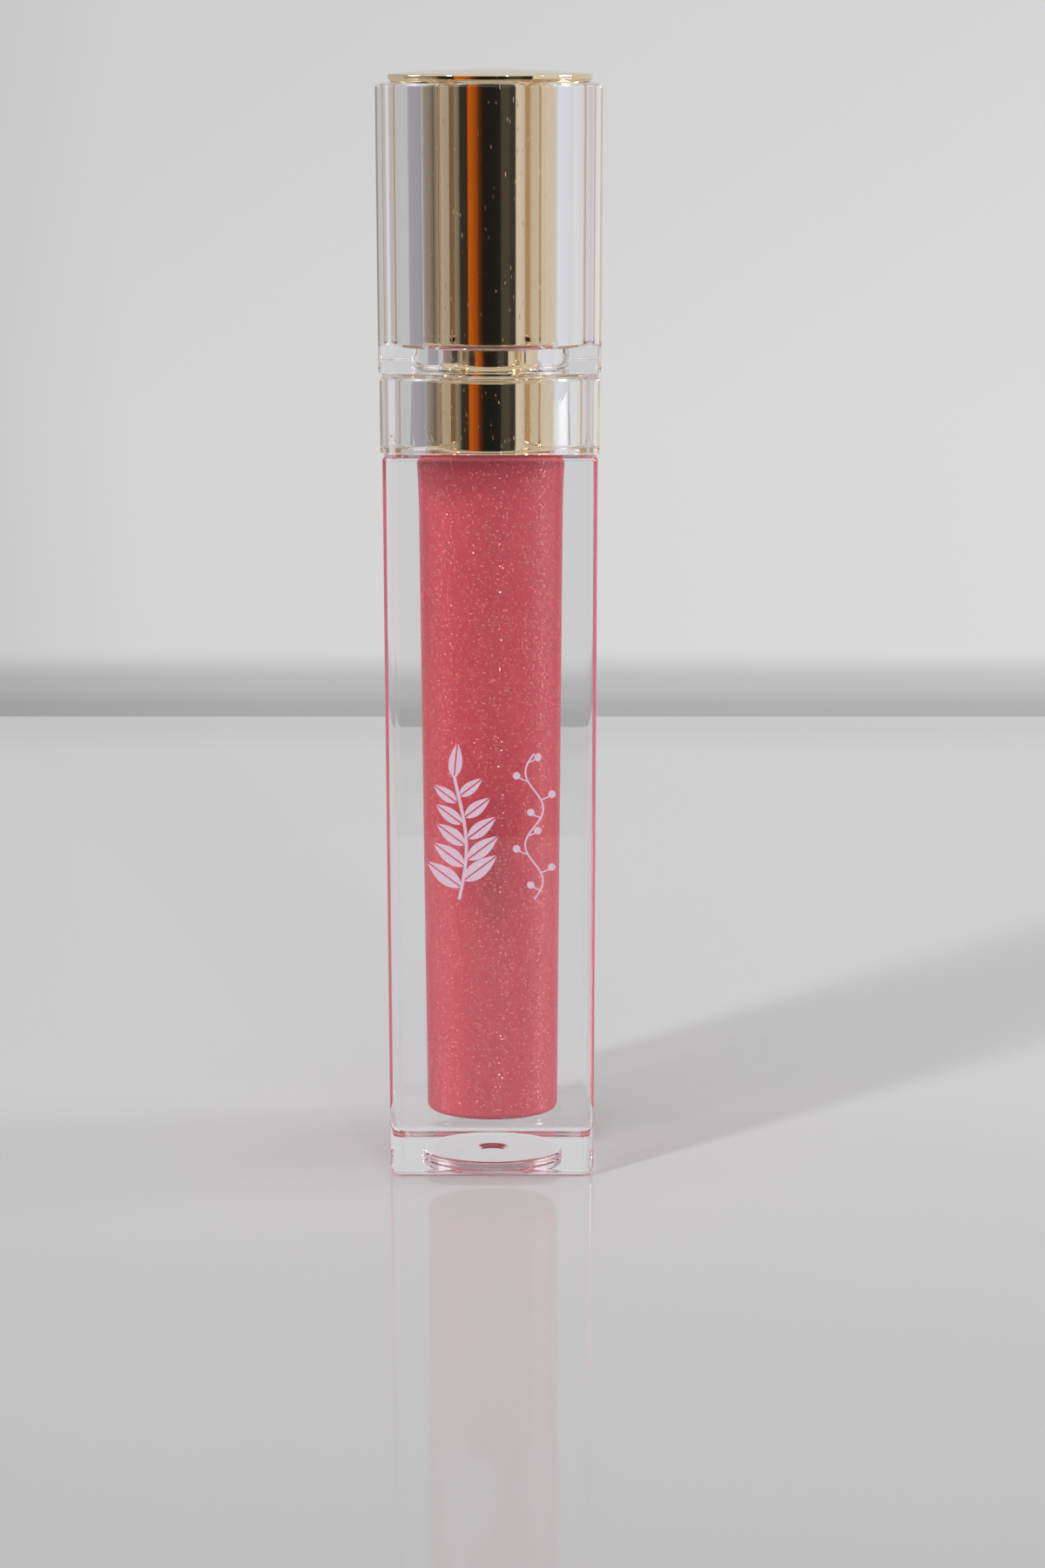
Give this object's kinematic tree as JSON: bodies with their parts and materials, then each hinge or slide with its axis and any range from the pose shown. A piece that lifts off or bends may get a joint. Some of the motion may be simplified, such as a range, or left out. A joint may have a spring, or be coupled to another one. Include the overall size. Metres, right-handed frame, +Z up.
{
  "type": "lip gloss tube",
  "caption": "Square clear lip gloss tube standing on its base, gilt inner cap with shallow dome, screw cap that carries a doe-foot wand.",
  "frame": {"origin": "centre of the square base, on the surface it stands on", "axes": "+Z up along the tube's axis, -Y towards the viewer's flat front face"},
  "size_m": [0.0194, 0.0194, 0.1],
  "materials": {
    "bottle_clear": "polished clear moulded plastic",
    "shell_clear": "polished clear moulded plastic",
    "gloss_pearl": "pearly rose liquid gloss",
    "neck_gilt": "metallised pale gold mirror",
    "cap_gilt": "metallised pale gold mirror",
    "wiper_soft": "soft natural polyethylene",
    "washer_foam": "fine closed-cell foam",
    "insert_plastic": "natural moulded polypropylene",
    "stem_plastic": "smooth moulded polypropylene",
    "tip_flock": "short nylon flock wetted with gloss",
    "print_ink": "thin pad-printed lilac ink"
  },
  "bodies": {
    "tube": {"bottle": "bottle_clear", "gloss_fill": "gloss_pearl", "neck_collar": "neck_gilt", "collar_shell": "shell_clear", "wiper": "wiper_soft"},
    "seal": {"seal_washer": "washer_foam"},
    "wand": {"wand_stem": "stem_plastic"},
    "cap": {"cap_shell": "shell_clear", "cap_can": "cap_gilt", "thread_insert": "insert_plastic", "applicator_tip": "tip_flock"}
  },
  "joints": [
    {"name": "wand_pull", "type": "slide", "parent": "tube", "child": "seal", "axis": [0, 0, 1], "range_m": [0, 0.078]},
    {"name": "cap_lift", "type": "slide", "parent": "seal", "child": "wand", "axis": [0, 0, 1], "range_m": [0, 0.0038]},
    {"name": "cap_turn", "type": "hinge", "parent": "wand", "child": "cap", "pos_m": [0, 0, 0.0805], "axis": [0, 0, 1], "range_deg": [0, 495]}
  ],
  "couplings": [
    {"joint": "cap_lift", "follows": "cap_turn", "m_per_rad": 0.00042972}
  ]
}
